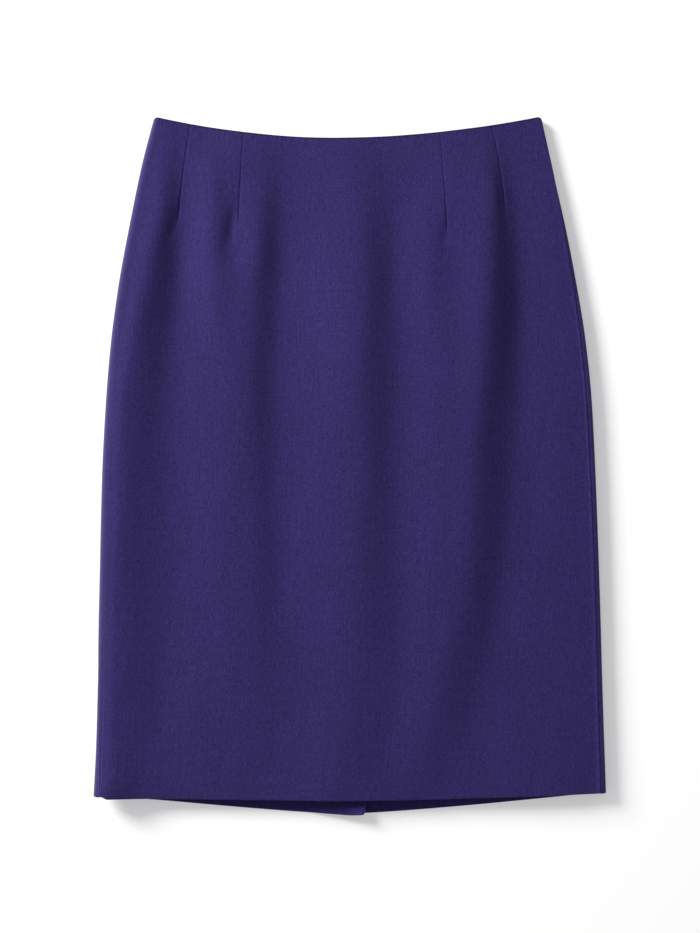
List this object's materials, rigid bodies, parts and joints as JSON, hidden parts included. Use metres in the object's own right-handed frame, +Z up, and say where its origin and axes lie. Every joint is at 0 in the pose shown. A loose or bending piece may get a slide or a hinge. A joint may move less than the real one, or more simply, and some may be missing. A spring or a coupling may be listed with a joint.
{
  "type": "pencil skirt",
  "caption": "Knee-length pencil skirt with a faced waist, front darts, a back vent and a concealed back zip, laid flat front side up.",
  "frame": {"origin": "centre of the bounding box on the surface that the skirt lies on", "axes": "+X to the right of the picture, which is the wearer's left; +Y from the hem to the waist; +Z up, out of the front"},
  "size_m": [0.4838, 0.6614, 0.025],
  "materials": {
    "wool_suiting": "matt plain weave wool suiting, deep violet",
    "zip_tape": "woven tape and nylon coil, violet",
    "zip_enamel": "violet enamel on metal"
  },
  "bodies": {
    "skirt": {"front_panel": "wool_suiting", "back_panel_left": "wool_suiting", "back_panel_right": "wool_suiting", "zip_chain": "zip_tape", "zip_slider": "zip_enamel"},
    "pull": {"zip_pull": "zip_enamel"}
  },
  "joints": [
    {"name": "pull_hinge", "type": "hinge", "parent": "skirt", "child": "pull", "pos_m": [-0.00243, 0.2962, 0.0015], "axis": [1, 0, 0], "range_deg": [0, 170]}
  ]
}
